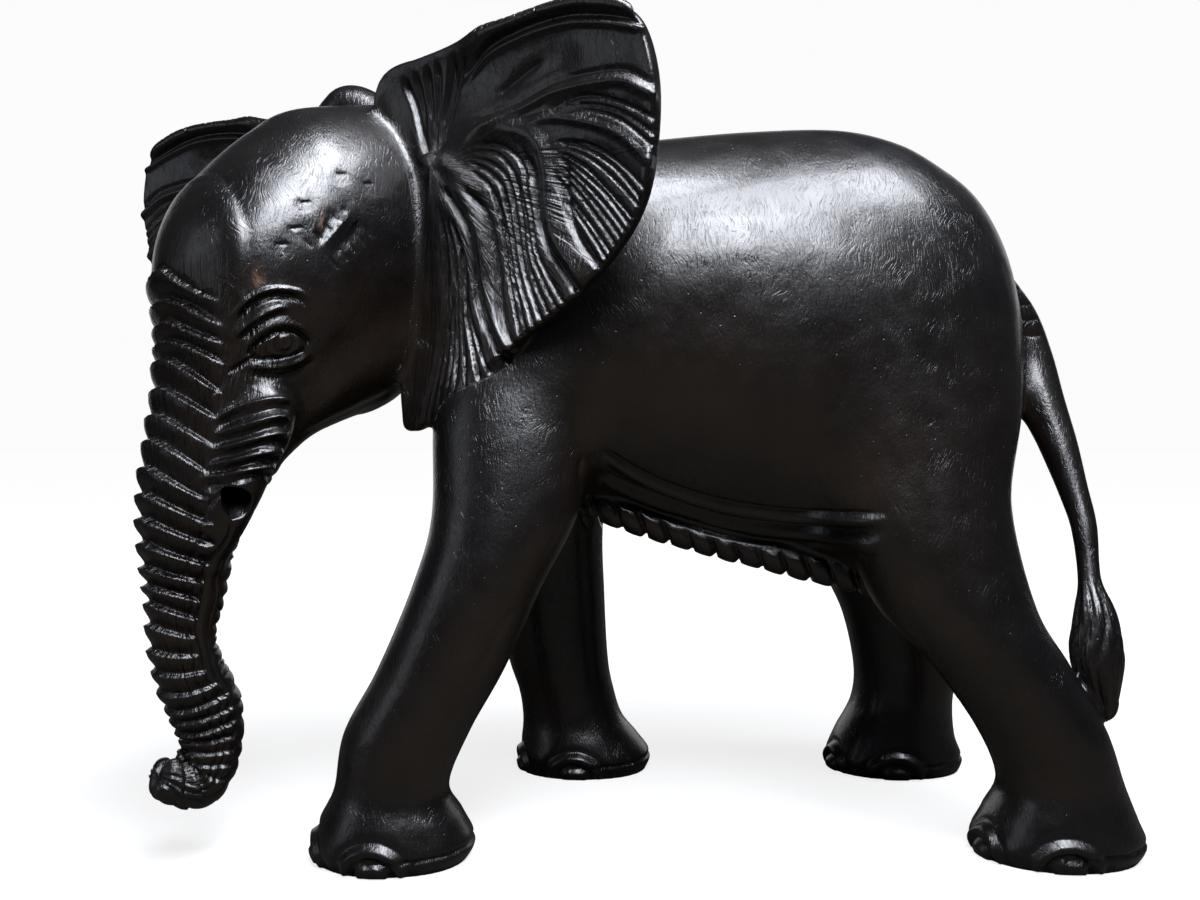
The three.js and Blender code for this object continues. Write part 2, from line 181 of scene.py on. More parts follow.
trunk = Limb(in_head([
    [6, 0, 85, 8.5, 7.5], [8.2, 0, 79, 10.5, 9], [8.2, 0, 72, 10.5, 8.75], [8.7, 0, 66, 10.2, 8.7],
    [10.4, 0, 60, 9.4, 8.7], [12.2, 0, 54, 8.4, 8.2], [14.2, 0, 48, 7, 7.2], [15.4, 0, 42, 5.9, 6],
    [15.75, 0, 36, 5, 5], [16.3, 0, 30, 4.1, 4.1], [15.2, 0, 25, 4.3, 4.3], [13.2, 0, 20.5, 4.5, 4.5],
    [12.3, 0, 16, 3.9, 3.9], [13.6, 0, 11.4, 3.7, 3.7], [16.2, 0, 10.7, 3.3, 3.2], [18.8, 0, 12, 2.7, 2.7],
]), HEAD_LEFT, None, 4, 1.2)
sheaths = [Limb(in_head([
    [8.6, 8.4 * hand, 60, 4, 3.8], [10, 8.3 * hand, 56.5, 4.4, 4.1], [11.6, 7.7 * hand, 52.6, 4, 3.8],
    [12.9, 7 * hand, 48.6, 3.7, 3.5], [13.9, 5.8 * hand, 44, 2.9, 2.7], [14.6, 4.6 * hand, 39.6, 1.3, 1.3],
]), HEAD_LEFT, None, 2.4, 1.2) for hand in (1, -1)]
sockets = [Limb(in_head([
    [13.4, 6.8 * hand, 50.6, 1.2, 1.2], [13.6, 8.4 * hand, 48.9, 1.7, 1.7],
    [13.8, 10.4 * hand, 46.9, 1.8, 1.8],
]), HEAD_LEFT, None, 1.2, 1) for hand in (1, -1)]


def leg(hand, rows):
    """Level sections from the sole up into the body, on one side."""
    return Limb([[x, y * hand, *rest] for x, y, *rest in rows], ALONG_X, ALONG_Y, 0, 8, 2.15)


legs = [
    leg(-1, [
        [-27.4, 21.25, 0, 9.8, 8.4], [-27.3, 21.25, 2.2, 10.7, 9.6], [-27.6, 21.25, 5.5, 9.4, 9],
        [-27.6, 21.25, 9.5, 7.5, 7.8], [-25.5, 21.25, 16.75, 8.3, 8], [-21, 21.25, 25, 8.4, 8.2],
        [-16.2, 21, 36, 8.6, 8.6], [-12.7, 19.8, 45.25, 9.7, 8.8], [-11.2, 17, 58.5, 11.3, 8.8],
        [-9.5, 14, 70, 11.5, 8],
    ]),
    leg(-1, [
        [61.1, 20, 0, 10.4, 8.4], [61.2, 20, 2.2, 11.3, 9.4], [61.4, 20, 5.5, 9.8, 9],
        [61.3, 20.4, 10, 8, 8], [58.4, 20.8, 17.25, 8.3, 8.2], [52.8, 21, 25.75, 9, 8.6],
        [47.2, 20.6, 33.25, 10.3, 9], [42.8, 19, 46, 12, 9.5], [41.9, 16.5, 60, 13.6, 9.3],
        [41, 14, 72, 12, 8],
    ]),
    leg(1, [
        [-2.8, 21.25, 0, 10.4, 8.4], [-2.6, 21.25, 2.5, 11, 9.6], [-3.4, 21.25, 5.5, 9.7, 9],
        [-4.6, 21.25, 8.75, 8.3, 8], [-5.6, 21.25, 13, 7.9, 7.8], [-7, 21.25, 18.5, 8.3, 8],
        [-8.6, 21, 30, 9.3, 8.6], [-9, 19.8, 41, 9.5, 9], [-9, 17, 58.5, 11, 8.8], [-9, 14, 70, 11.5, 8],
    ]),
    leg(1, [
        [49.3, 21.25, 0, 10.6, 8.4], [49.3, 21.25, 2.2, 11.2, 9.6], [49.4, 21.25, 6, 9.8, 9],
        [50.6, 21.25, 11.25, 8.3, 8], [51.2, 21.25, 17, 8.4, 8.2], [50.3, 21.25, 25.75, 9.4, 8.6],
        [48, 20.6, 33.25, 10.6, 9], [44, 19, 46, 12, 9.5], [42.5, 16.5, 60, 13.6, 9.3], [42, 14, 72, 12, 8],
    ]),
]
tail = Limb([
    [56, 0, 79, 4, 4.5], [60.8, -1.5, 73, 3.6, 4], [63, -3.5, 67, 3.1, 3.1], [64, -6, 60.8, 3, 3],
    [65.3, -8.8, 54.6, 2.6, 2.6], [66.3, -11.8, 48.3, 2, 2], [66.9, -14.3, 43.1, 1.7, 1.7],
    [66.6, -17, 36.2, 1.5, 1.5], [66.8, -18.3, 31.2, 2.7, 2.7], [66.9, -19, 25.7, 3.3, 3.3],
    [67.5, -19.3, 20, 1.9, 2.2],
], ALONG_X, None, 2, 2.4)
ear_fold = Limb([
    [-41.5, 3.5, 101, 3, 3], [-38.3, 2.5, 105.2, 3.2, 3.2], [-34, 2, 103.5, 3.4, 3.4], [-30, 1, 98, 4, 4],
    [-26.5, 0, 91, 4.4, 4.4], [-22, 0, 84, 4, 4],
], ALONG_Y, None, 2, 2)
ruffles = [Limb([
    [-6, -8 * hand, 49.5, 1.4, 1.4], [-1, -10.5 * hand, 46.3, 2.2, 2.2], [10, -11 * hand, 42.9, 2.5, 2.5],
    [21, -11.5 * hand, 40, 2.5, 2.5], [31, -12 * hand, 37.4, 2.4, 2.4], [39, -13 * hand, 35, 1.8, 1.8],
], ALONG_Y, ALONG_Z, 1, 1) for hand in (1, -1)]


class Ear:
    """A leaf around its root, with its reach by angle in degrees as its outline. It is a hollow bowl of even
    thickness, and its edge is rounded."""
    REACH = np.array([
        [0, 33.9], [15, 34.8], [26, 34.4], [34, 31], [48, 23.6], [60, 19.5], [80, 16.2], [100, 15.4],
        [125, 16.6], [145, 13.4], [165, 8.5], [190, 7], [225, 7], [245, 12], [254, 22], [259, 32],
        [262, 35.4], [270, 33.4], [285, 28.8], [304, 27.4], [325, 29.7], [345, 33]])

    def __init__(self, root, outward, hand, lift=0.0, size=1.0):
        self.root = np.array(root)
        self.outward = unit_rows(np.array([outward]))[0]
        self.face = np.cross(self.outward, ALONG_Z) * hand
        self.lift, self.size = math.radians(lift), size
        angles = np.radians(np.r_[self.REACH[-2:, 0] - 360, self.REACH[:, 0], self.REACH[:3, 0] + 360])
        reach = np.r_[self.REACH[-2:, 1], self.REACH[:, 1], self.REACH[:3, 1]]
        place = np.linspace(1, len(reach) - 3, 721)
        smooth = glide(np.c_[angles, reach], place)
        self.angles, self.reaches = smooth.T
        self.slopes = np.gradient(self.reaches, self.angles)
        span = 36 * size
        self.low, self.high = self.root - [span, span, span], self.root + [span, span, span]

    def leaf_place(self, points):
        """Along, up and out of the ear's own leaf, unturned and at full size."""
        offset = (points - self.root) / self.size
        x, z = offset @ self.outward, offset[:, 2]
        c, s = math.cos(self.lift), math.sin(self.lift)
        return x * c + z * s, z * c - x * s, offset @ self.face

    def distance(self, points):
        """Distance of each point from the leaf's skin: how far it is past the outline or off the bowl, with
        the edge rounded by the rim's half thickness."""
        x, z, out = self.leaf_place(points)
        radius = np.hypot(x, z)
        angle = np.mod(np.arctan2(z, x) - self.angles[0], 2 * math.pi) + self.angles[0]
        reach = np.interp(angle, self.angles, self.reaches)
        slope = np.interp(angle, self.angles, self.slopes)
        edge = (radius - reach) / np.hypot(1, slope / reach)
        share = radius / reach
        half = 4.5 * MILLIMETRE / self.size
        bowl = -7 * MILLIMETRE * np.sin(math.pi * 0.9 * share.clip(0, 1.1))
        rim_half = half * (0.5 + 0.5 * ramp(10 - radius, 0, 8))
        beyond = edge + rim_half
        thick = np.abs(out - bowl) - half
        inside = np.minimum(np.maximum(beyond, thick + rim_half), 0)
        away = np.hypot(np.maximum(beyond, 0), np.maximum(thick + rim_half, 0))
        return (inside + away - rim_half) * self.size


ears = [
    Ear([-22, -18.75, 91.5], [0.839, -0.545, 0], 1),
    Ear([-47, 6.7, 91], [-0.914, 0.407, 0], -1, -6, 0.9),
]

# Every mass with how softly it runs into those before it, in grid units
masses = [(body, 1), (skull, 3), (jaw, 5), (trunk, 5), *((sheath, 1.5) for sheath in sheaths),
          *((limb, 5) for limb in legs), *((ruffle, 1) for ruffle in ruffles), (tail, 2),
          *((ear, 1.5) for ear in ears), (ear_fold, 3)]


def block_distance(points):
    """Distance to the skin: the masses soft-joined in order, each where a point is near its box, less the
    sockets and what lies under the floor."""
    margin = 4
    field = np.full(len(points), 99.0)
    for mass, softness in masses:
        near = near_box(points, mass.low, mass.high, margin)
        if len(near):
            field[near] = soft_join(field[near], mass.distance(points[near]), softness)
    for hollow in sockets:
        near = near_box(points, hollow.low, hollow.high, margin)
        if len(near):
            field[near] = -soft_join(-field[near], hollow.distance(points[near]), 0.4)
    return np.maximum(field, -points[:, 2])


def surface_net(low, high, step):
    """Quads on the zero surface of the block: one vertex in each grid cell that the surface crosses, at the
    mean of its edge crossings, and one quad for each crossed grid edge."""
    counts = np.ceil((high - low) / step).astype(int) + 1
    axes = [low[k] + step * np.arange(counts[k]) for k in range(3)]
    field = np.empty(counts)
    for slab in np.array_split(np.arange(counts[0]), 24):
        x, y, z = np.meshgrid(axes[0][slab], axes[1], axes[2], indexing="ij")
        field[slab] = block_distance(np.c_[x.ravel(), y.ravel(), z.ravel()]).reshape(x.shape)
    cells = counts - 1
    sums = np.zeros((3, cells.prod()))
    hits = np.zeros(cells.prod())
    edges = []
    for axis in range(3):
        a = np.take(field, np.arange(counts[axis] - 1), axis)
        b = np.take(field, np.arange(1, counts[axis]), axis)
        crossed = (a < 0) != (b < 0)
        corner = np.argwhere(crossed)
        point = corner.astype(float)
        point[:, axis] += a[crossed] / (a[crossed] - b[crossed])
        u, v = (axis + 1) % 3, (axis + 2) % 3
        around = []
        for du, dv in ((0, 0), (-1, 0), (-1, -1), (0, -1)):
            cell = corner.copy()
            cell[:, u] += du
            cell[:, v] += dv
            index = np.ravel_multi_index(cell.T, cells)
            around.append(index)
            hits += np.bincount(index, minlength=len(hits))
            for k in range(3):
                sums[k] += np.bincount(index, point[:, k], len(hits))
        quads = np.array(around).T
        flip = (a[crossed] >= 0)
        quads[flip] = quads[flip][:, ::-1]
        edges.append(quads)
    used = np.flatnonzero(hits)
    number = np.zeros(len(hits), int)
    number[used] = np.arange(len(used))
    points = (sums[:, used] / hits[used]).T * step + low
    return points, number[np.concatenate(edges)]


def point_normals(points, quads):
    """Mean of the corner normals: each quad's diagonals crossed, summed on its corners."""
    a, b, c, d = (points[quads[:, k]] for k in range(4))
    face = np.cross(c - a, d - b)
    total = np.stack([sum(np.bincount(quads[:, k], face[:, axis], len(points)) for k in range(4))
                      for axis in range(3)], axis=1)
    return unit_rows(total)


def split_quads(points, quads):
    """Each quad cut in four at its centre and the middles of its sides."""
    ends = np.concatenate([quads[:, [k, (k + 1) % 4]] for k in range(4)])
    keys = ends.min(axis=1) * len(points) + ends.max(axis=1)
    unique, where = np.unique(keys, return_inverse=True)
    middles = 0.5 * (points[unique // len(points)] + points[unique % len(points)])
    centres = points[quads].mean(axis=1)
    side = where.reshape(4, -1) + len(points)
    centre = np.arange(len(quads)) + len(points) + len(middles)
    parts = [np.stack([quads[:, k], side[k], centre, side[k - 1]], axis=1) for k in range(4)]
    return np.concatenate([points, middles, centres]), np.concatenate(parts)


# The fine carving
# Rings, folds, veins, lids, scallops and nails are gouge and knife cuts a few millimetres deep in the same
# wood. Each is a stroke or a pattern drawn on one face of the block, and the skin is moved along its own
# normal by the sum of them all.
def bell(distance, width):
    """1 at no distance, falling off as exp of minus the square of distance over width."""
    return np.exp(-(distance / width) ** 2)


def taper(share, start=0.15, end=0.15):
    """1 along a stroke, running out to 0 over the given shares of its length at its two ends."""
    return ramp(share, -1e-6, max(start, 1e-6)) * ramp(1 - share, -1e-6, max(end, 1e-6))


class Face:
    """Part of the skin seen flat: where its points lie on a plane, and how far each belongs, 0 to 1."""

    def __init__(self, place, weight):
        self.index = np.flatnonzero(weight > 0.01)
        self.place = np.asarray(place)[self.index]
        self.weight = weight[self.index]
        self.height = np.zeros(len(self.index))

    def stroke(self, path, profile, reach):
        """Adds a profile of the distance from a glided path, positive on its left, and the share along."""
        path = np.array(path, float)
        line = glide(path, np.linspace(0, len(path) - 1, 4 * (len(path) - 1) + 1))
        near = near_box(self.place, line.min(axis=0), line.max(axis=0), reach)
        place = self.place[near]
        steps = np.diff(line, axis=0)
        lengths = np.linalg.norm(steps, axis=1)
        starts = np.r_[0, np.cumsum(lengths)]
        square, signed, share = np.full(len(near), 1e9), np.zeros(len(near)), np.zeros(len(near))
        for a, step, length, start in zip(line, steps, lengths, starts):
            offset = place - a
            t = np.clip(offset @ step / length ** 2, 0, 1)
            away = offset - t[:, None] * step
            here = (away ** 2).sum(axis=1)
            closer = here < square
            side = np.where(step[0] * offset[:, 1] - step[1] * offset[:, 0] < 0, -1, 1)
            square = np.where(closer, here, square)
            signed = np.where(closer, side * np.sqrt(here), signed)
            share = np.where(closer, (start + t * length) / starts[-1], share)
        self.height[near] += profile(signed, share)

    def cut(self, path, depth, width, start=0.15, end=0.15):
        """Rounded groove: depth times a bell across it and a taper along it. Depth and half width are in
        millimetres, and a negative depth gives a ridge."""
        depth, width = depth * MILLIMETRE, width * MILLIMETRE
        self.stroke(path, lambda s, share: -depth * bell(s, width) * taper(share, start, end), 2.5 * width)

    def fan(self, first, last, count, depth, width, seed):
        """Grooves between two paths of as many points, each a mix of the two, of uneven depth."""
        chance = np.random.default_rng(seed)
        first, last = np.array(first, float), np.array(last, float)
        for share in np.linspace(0, 1, count):
            path = first + (last - first) * np.clip(share + chance.normal(0, 0.12 / count), 0, 1)
            path = path + chance.normal(0, 0.12, path.shape)
            self.cut(path, depth * chance.uniform(0.6, 1.25), width * chance.uniform(0.8, 1.2), 0.2, 0.02)

    def raise_skin(self, relief):
        """Adds the strokes to the relief of the whole skin."""
        relief[self.index] += self.height * self.weight


def carve_rings(points, relief):
    """Rings across the trunk's front: the length down it over the pitch counts them, and each is a cup whose
    upper lip stands proud. They sweep down to the sides, and fine notches and lines cover the back."""
    near = near_box(points, trunk.low, trunk.high)
    distance, row, a, b = trunk.measure(points[near])
    own = 1 - ramp(distance, 2.2, 3.6)
    down = np.interp(row, trunk.place, trunk.length) - np.interp(1.15, trunk.place, trunk.length)
    turn = np.degrees(np.arctan2(a, b))
    angle = np.abs(turn)
    steep = np.interp(down, [0, 8, 14, 21, 28, 32, 40, 58, 68], [10, 10.5, 7, 5, 4, 3, 2.2, 0.6, -1.6])
    sweep = np.where(turn > 0, steep, 0.4 * steep) * (angle / 90) ** 1.2
    swept = down - sweep
    ends = np.linspace(-12, 80, 400)
    pitch = np.interp(ends, [0, 5, 27, 30, 46, 70], [12, 14.6, 14.2, 11, 10, 8.4]) * MILLIMETRE
    passed = np.cumsum((ends[1] - ends[0]) / pitch)
    turns = np.interp(swept, ends, passed - np.interp(0.6, ends, passed))
    ring = np.floor(turns)
    part = turns - ring
    wobble = 0.8 + 0.4 * np.modf(np.abs(np.sin(ring * 12.99 + 1.0)) * 43.7)[0]
    cup = ramp(part, 0.0, 0.16) * (1 - 0.9 * ramp(part, 0.25, 1.05)) + 0.1 * bell(part - 0.14, 0.07)
    limit = np.interp(down, [2, 8, 15, 21, 26, 31, 37, 52, 58], [40, 43, 49, 57, 61, 67, 88, 84, 112])
    limit = np.where(turn > 0, limit, np.maximum(limit, 62))
    front = 1 - ramp(angle, limit - 6, limit + 8)
    depth = np.interp(down, [0, 14, 50, 60, 68], [4.6, 4.8, 3.6, 3.0, 2.4]) * MILLIMETRE
    rings = depth * wobble * (cup - 0.5) * front * ramp(swept, 0.5, 0.8)
    fine = 2.3 + 0.2 * np.sin(ring)
    behind = ramp(angle, 118, 140) * ramp(down, 22, 28)
    serration = 1.5 * MILLIMETRE * behind * (np.abs(np.sin(math.pi * down / fine)) - 0.5)
    side = a * np.interp(row, np.arange(16), [8, 10, 10, 10, 9, 8, 7, 6, 5, 4, 4, 4, 4, 4, 3, 3])
    lengthwise = np.zeros(len(near))
    for degrees, depth_mm, width_mm in ((74, 1.2, 0.8), (92, 1.5, 0.9), (112, 1.1, 0.8)):
        wander = degrees + 5 * np.sin(down * 0.31 + degrees) + 3 * np.sin(down * 0.9)
        arm = np.radians(angle - wander) * np.maximum(np.abs(side), 3)
        lengthwise -= depth_mm * MILLIMETRE * bell(arm, width_mm * MILLIMETRE)
    lengthwise *= ramp(down, 26, 31)
    notch = -2.2 * MILLIMETRE * bell(a, 0.22) * ramp(down, 64, 68)
    relief[near] += own * (rings + serration + lengthwise + notch)


def tool_lines(points):
    """Where the gouge left fine lines: millimetres across them, millimetres along them, and how strong."""
    lines = np.zeros((len(points), 3))
    near = near_box(points, trunk.low, trunk.high)
    distance, row, a, b = trunk.measure(points[near])
    angle = np.arctan2(a, b)
    wide = np.interp(row, trunk.place, trunk.size[:, 0])
    lines[near, 0] = angle * wide / MILLIMETRE
    lines[near, 1] = np.interp(row, trunk.place, trunk.length) / MILLIMETRE
    front = 1 - ramp(np.abs(angle), 1.2, 1.7)
    lines[near, 2] = (1 - ramp(distance, 1.4, 2.6)) * ramp(row, 1.1, 1.4) * front
    for ear in ears:
        near = near_box(points, ear.low, ear.high)
        x, z, out = ear.leaf_place(points[near])
        own = (1 - ramp(ear.distance(points[near]), 0.4, 1.4)) * ramp(out, -2.2, -1.1) * ramp(-z, -5, 1)
        near, x, z, own = near[own > 0.05], x[own > 0.05], z[own > 0.05], own[own > 0.05]
        lines[near] = np.c_[np.arctan2(z, x) * 20 / MILLIMETRE, np.hypot(x, z) / MILLIMETRE, 0.4 * own]
    return lines


def carve_head(points, normals, relief, hand, fineness):
    """Cheek seen from the side, ahead across and height up: the eye's ball is a circle's height over its own
    ellipse, and its lids, the brow's folds, the sheath's folds, the jaw and the lip are strokes."""
    u, v, z = head_place(points)
    facing = ramp(hand * (normals @ HEAD_LEFT), 0.05, 0.35) * ramp(hand * v, 1.5, 3.5)
    region = ramp(z, 42, 44) * ramp(u, -16, -12)
    ear = ears[0] if hand > 0 else ears[1]
    off_ear = ramp(np.where(np.abs(z - 85) < 30, ear.distance(points), 9), 0.3, 1.2)
    cheek = Face(np.c_[u, z], facing * region * off_ear)
    eye_ball = np.hypot((cheek.place[:, 0] - 8.6) / 2.7, (cheek.place[:, 1] - 67.25) / 1.55)
    cheek.height += (1.5 * MILLIMETRE * np.sqrt(np.maximum(1 - eye_ball ** 2, 0))
                     - 1.3 * MILLIMETRE * bell(eye_ball, 1.5))
    upper_lid = [(12.7, 65.6), (11.7, 67.5), (8.9, 69), (6.3, 68.4), (4.9, 67.2)]
    lower_lid = [(12.4, 65.3), (10.4, 65.4), (8.2, 65.7), (5.4, 66.7)]
    cheek.cut(upper_lid, 2.6, 1.0, 0.05, 0.1)
    cheek.cut(lower_lid, 2.0, 0.9, 0.05, 0.1)
    cheek.cut([(13, 66.2), (12, 68.4), (9, 69.9), (6, 69.3), (4.2, 67.8)], -0.9, 0.9, 0.1, 0.2)
    cheek.cut([(12.6, 64.5), (9.6, 64.4), (6.6, 65.1), (4.4, 66.6)], -1.3, 0.9, 0.1, 0.2)
    cheek.cut([(13.4, 63.9), (9.6, 63.2), (6, 64), (3.6, 65.8)], 1.3, 1.4, 0.2, 0.2)
    cheek.cut([(11.6, 66.2), (13, 64.8), (14.8, 63.4)], 2.3, 1.2, 0.1, 0.3)
    iris = np.hypot(cheek.place[:, 0] - 8.5, cheek.place[:, 1] - 67.5)
    cheek.height -= 1.3 * MILLIMETRE * bell(iris - 1.15, 0.24) + 0.9 * MILLIMETRE * bell(iris, 0.35)
    for path, height in (
        ([(14.9, 69.4), (13.4, 72.4), (10.8, 74), (7.6, 73.9), (5.4, 72.5)], 1.9),
        ([(14.4, 67.6), (12.6, 70), (10, 71.7), (7.4, 71.8)], 1.6),
    ):
        cheek.cut(path, -height, 1.1, 0.25, 0.3)
        cheek.cut([(x - 0.1, y - 0.9) for x, y in path], 1.2 * height, 1.6, 0.25, 0.3)
    for path in (
        [(15.9, 57.6), (13.3, 59.3), (9.9, 60.4), (7.4, 60.1)],
        [(16, 55.6), (12.6, 57.3), (9.6, 58.2), (7.6, 57.9)],
        [(16.2, 53.7), (12.8, 55.3), (9.6, 56.1), (7.7, 55.7)],
        [(16.6, 51.9), (12.8, 53.4), (9.6, 53.9), (8, 53.5)],
        [(17.2, 50.2), (14, 51.4), (10.9, 51.9), (8.6, 51.6)],
    ):
        cheek.cut(path, -2.3, 1.15, 0.2, 0.12)
        cheek.cut([(x, y - 1.05) for x, y in path], 1.9, 2.1, 0.2, 0.12)
    cheek.cut([(7.4, 50.2), (6, 54), (5.4, 57.5), (6, 61)], 1.9, 1.9, 0.15, 0.2)
    cheek.cut([(-10.8, 62.1), (-1.9, 58.1), (6.7, 54.2)], 0.8, 2.2)
    cheek.cut([(2.4, 54.5), (4, 52.1), (5.2, 51.2)], 1.2, 1.3)
    for k in range(7):
        cheek.cut([(16.4 - 0.5 * k, 60.2 + 0.4 * k), (15.4 - 0.3 * k, 61.6 + 0.9 * k)], 0.7, 0.9, 0.3, 0.3)
    if fineness > 0.9:
        cheek.cut([(2.6, 85.6), (3.8, 82.8), (5.6, 79.4)], 0.8, 2.6, 0.3, 0.3)
        cheek.cut([(-1.6, 84.4), (0.8, 81.5), (4.3, 78)], 1.0, 2.6, 0.3, 0.3)
        cheek.cut([(-0.2, 85.8), (2.3, 82.6), (5.2, 79)], -0.7, 1.6, 0.3, 0.3)
        for k in range(5):
            x, y = -1.6 + 1.25 * k, 82.6 - 1.15 * k
            cheek.cut([(x - 0.9, y - 1.1), (x + 0.5, y + 0.7)], 0.7, 0.75, 0.2, 0.3)
            cheek.cut([(x + 2.4, y + 1.3), (x + 3.6, y + 2.7)], 0.6, 0.75, 0.3, 0.3)
        for x, y, size in (
            (1.1, 88.9, 1.2), (-2.6, 88.1, 1.3), (7.7, 81.2, 1.2), (9.4, 79, 1.1), (6.3, 84.6, 0.7),
        ):
            pit = np.hypot(cheek.place[:, 0] - x, 1.5 * (cheek.place[:, 1] - y))
            cheek.height -= 0.5 * MILLIMETRE * bell(pit, size)
            cheek.cut([(x - 1, y + 0.9), (x + 1, y + 0.5)], 0.7, 0.6, 0.3, 0.3)
    cheek.height *= fineness
    cheek.raise_skin(relief)


def carve_ear(points, normals, relief, ear, seed, fineness):
    """Ear's face seen flat, out from its root and up. Strokes give it a rolled rim, a vein, one long ridge
    and grooves, and fans of grooves fill what lies between."""
    near = near_box(points, ear.low, ear.high)
    x, z, out = ear.leaf_place(points[near])
    own = (1 - ramp(ear.distance(points[near]), 0.4, 1.4)) * ramp(out, -2.2, -1.1)
    own *= ramp(normals[near] @ ear.face, 0.05, 0.4)
    weight = np.zeros(len(points))
    weight[near] = own
    place = np.zeros((len(points), 2))
    place[near] = np.c_[x, z]
    leaf = Face(place, weight)
    rim = [(34.5, 12.6), (31.8, 13.5), (27.5, 14.9), (21.8, 16), (15.9, 15.8), (9.8, 14.6), (6.7, 12.9),
           (3.2, 10)]
    leaf.cut([(px, pz + 2.4) for px, pz in rim], -3.4, 7.5, 0, 0.2)
    leaf.cut([(px, pz + 0.4) for px, pz in rim], 3.4, 2.4, 0, 0.15)
    leaf.cut([(px, pz - 0.6) for px, pz in rim], -1.6, 1.8, 0, 0.15)
    vein = [(34.5, 4.4), (33, 5.2), (29.7, 7), (24.8, 7.6), (18.9, 7.4), (14.5, 6.2), (9.8, 4.9), (4.1, 3.6)]
    leaf.cut(vein, -2.2, 2.6, 0, 0.2)
    leaf.cut([(px, pz + 1.3) for px, pz in vein], 1.3, 2, 0, 0.2)
    leaf.cut([(24, 11.4), (18, 11), (12, 9), (8, 6.8)], 2.2, 9, 0.3, 0.3)
    leaf.cut([(17.6, 12), (14.4, 10.9), (11.2, 9.4), (9.4, 8.2)], 1.5, 1.6, 0.3, 0.3)
    leaf.cut([(13.9, 4), (17.6, 4.3), (21.8, 3.6), (28.8, 0.9), (34.6, -4.2)], -2, 2.3, 0.15, 0)
    ridge = [(3.4, 1), (8.2, 4), (14, 3.2), (16.7, 0.8), (17.7, -2.4), (17.9, -5.4), (18.6, -9),
             (20.5, -12.8), (24.8, -17.4)]
    leaf.cut(ridge, -3.2, 5.5, 0.1, 0.1)
    before_ridge = [(13.4, 0.9), (15.2, -1.2), (16, -4.6), (16.6, -8.6), (18.2, -12), (21, -15.2),
                    (23.6, -18.6)]
    behind_ridge = [(20.2, 0.4), (20.6, -3.6), (21, -7.6), (23.2, -11.8), (26.6, -15.4)]
    leaf.cut(before_ridge, 3.8, 2.4, 0.15, 0.02)
    leaf.cut(behind_ridge, 2.8, 1.9, 0.2, 0.02)
    drop = [(2.6, -1.6), (5.4, -5.2), (7, -9.4), (7.8, -14.4), (9, -19), (11, -22.6), (14.4, -26)]
    before_drop = [(1, -1.8), (3.4, -5.6), (5.4, -9.4), (6.1, -14), (7.1, -19), (9.4, -23), (12.4, -27)]
    behind_drop = [(4.5, -2.4), (7.8, -6.1), (8.9, -9.7), (9.9, -14.9), (10.7, -20), (13, -24), (16, -27)]
    leaf.cut(before_drop, 3.6, 1.9, 0.1, 0.02)
    leaf.cut(drop, -2.4, 3.4, 0.1, 0.05)
    leaf.cut(behind_drop, 3.6, 1.9, 0.1, 0.02)
    leaf.cut([(0.6, 1.2), (3.4, -0.6), (5.8, -3), (7.4, -6)], -2.6, 4.2, 0.2, 0.3)
    leaf.fan([(0.4, -3), (1.2, -12), (0.6, -22), (-2.6, -36)],
             [(2.4, -6), (4.6, -13), (5.6, -20), (10.4, -28.6)], 8, 2.1 * fineness, 0.85, seed)
    leaf.fan([(8.6, -2), (10.6, -9), (12, -17), (15.6, -27.6)],
             [(14, -0.6), (15.4, -7), (16.8, -13), (23, -21)], 7, 2.1 * fineness, 0.9, seed + 1)
    leaf.fan([(6.4, 2.2), (10.4, 2), (13.4, 0), (14.6, -3)], [(5.4, -0.6), (8, -2.4), (9.8, -5), (10.8, -9)],
             5, 2.2 * fineness, 1.2, seed + 2)
    leaf.fan([(18.6, 1.6), (24, 0.6), (29, -2.6), (33.8, -7.4)],
             [(18.6, -2.6), (21.4, -8), (24.4, -12), (28.2, -17.2)], 11, 2.1 * fineness, 1.0, seed + 3)
    leaf.fan([(17, 5.4), (23, 6.2), (29, 4.6), (34.6, 1.6)],
             [(17, 4.6), (22.6, 4.6), (29, 2.4), (34.4, -2)], 3, 1.8 * fineness, 1.0, seed + 4)
    pleats = 6 if fineness > 0.9 else 2
    leaf.fan([(-6, 13.4), (-4.4, 9.4), (-3.4, 6), (-2, 2)], [(5.4, 15.6), (3.6, 11.4), (2, 7), (0.6, 2.6)],
             pleats, 2.6 * fineness, 1.8, seed + 5)
    leaf.raise_skin(relief)


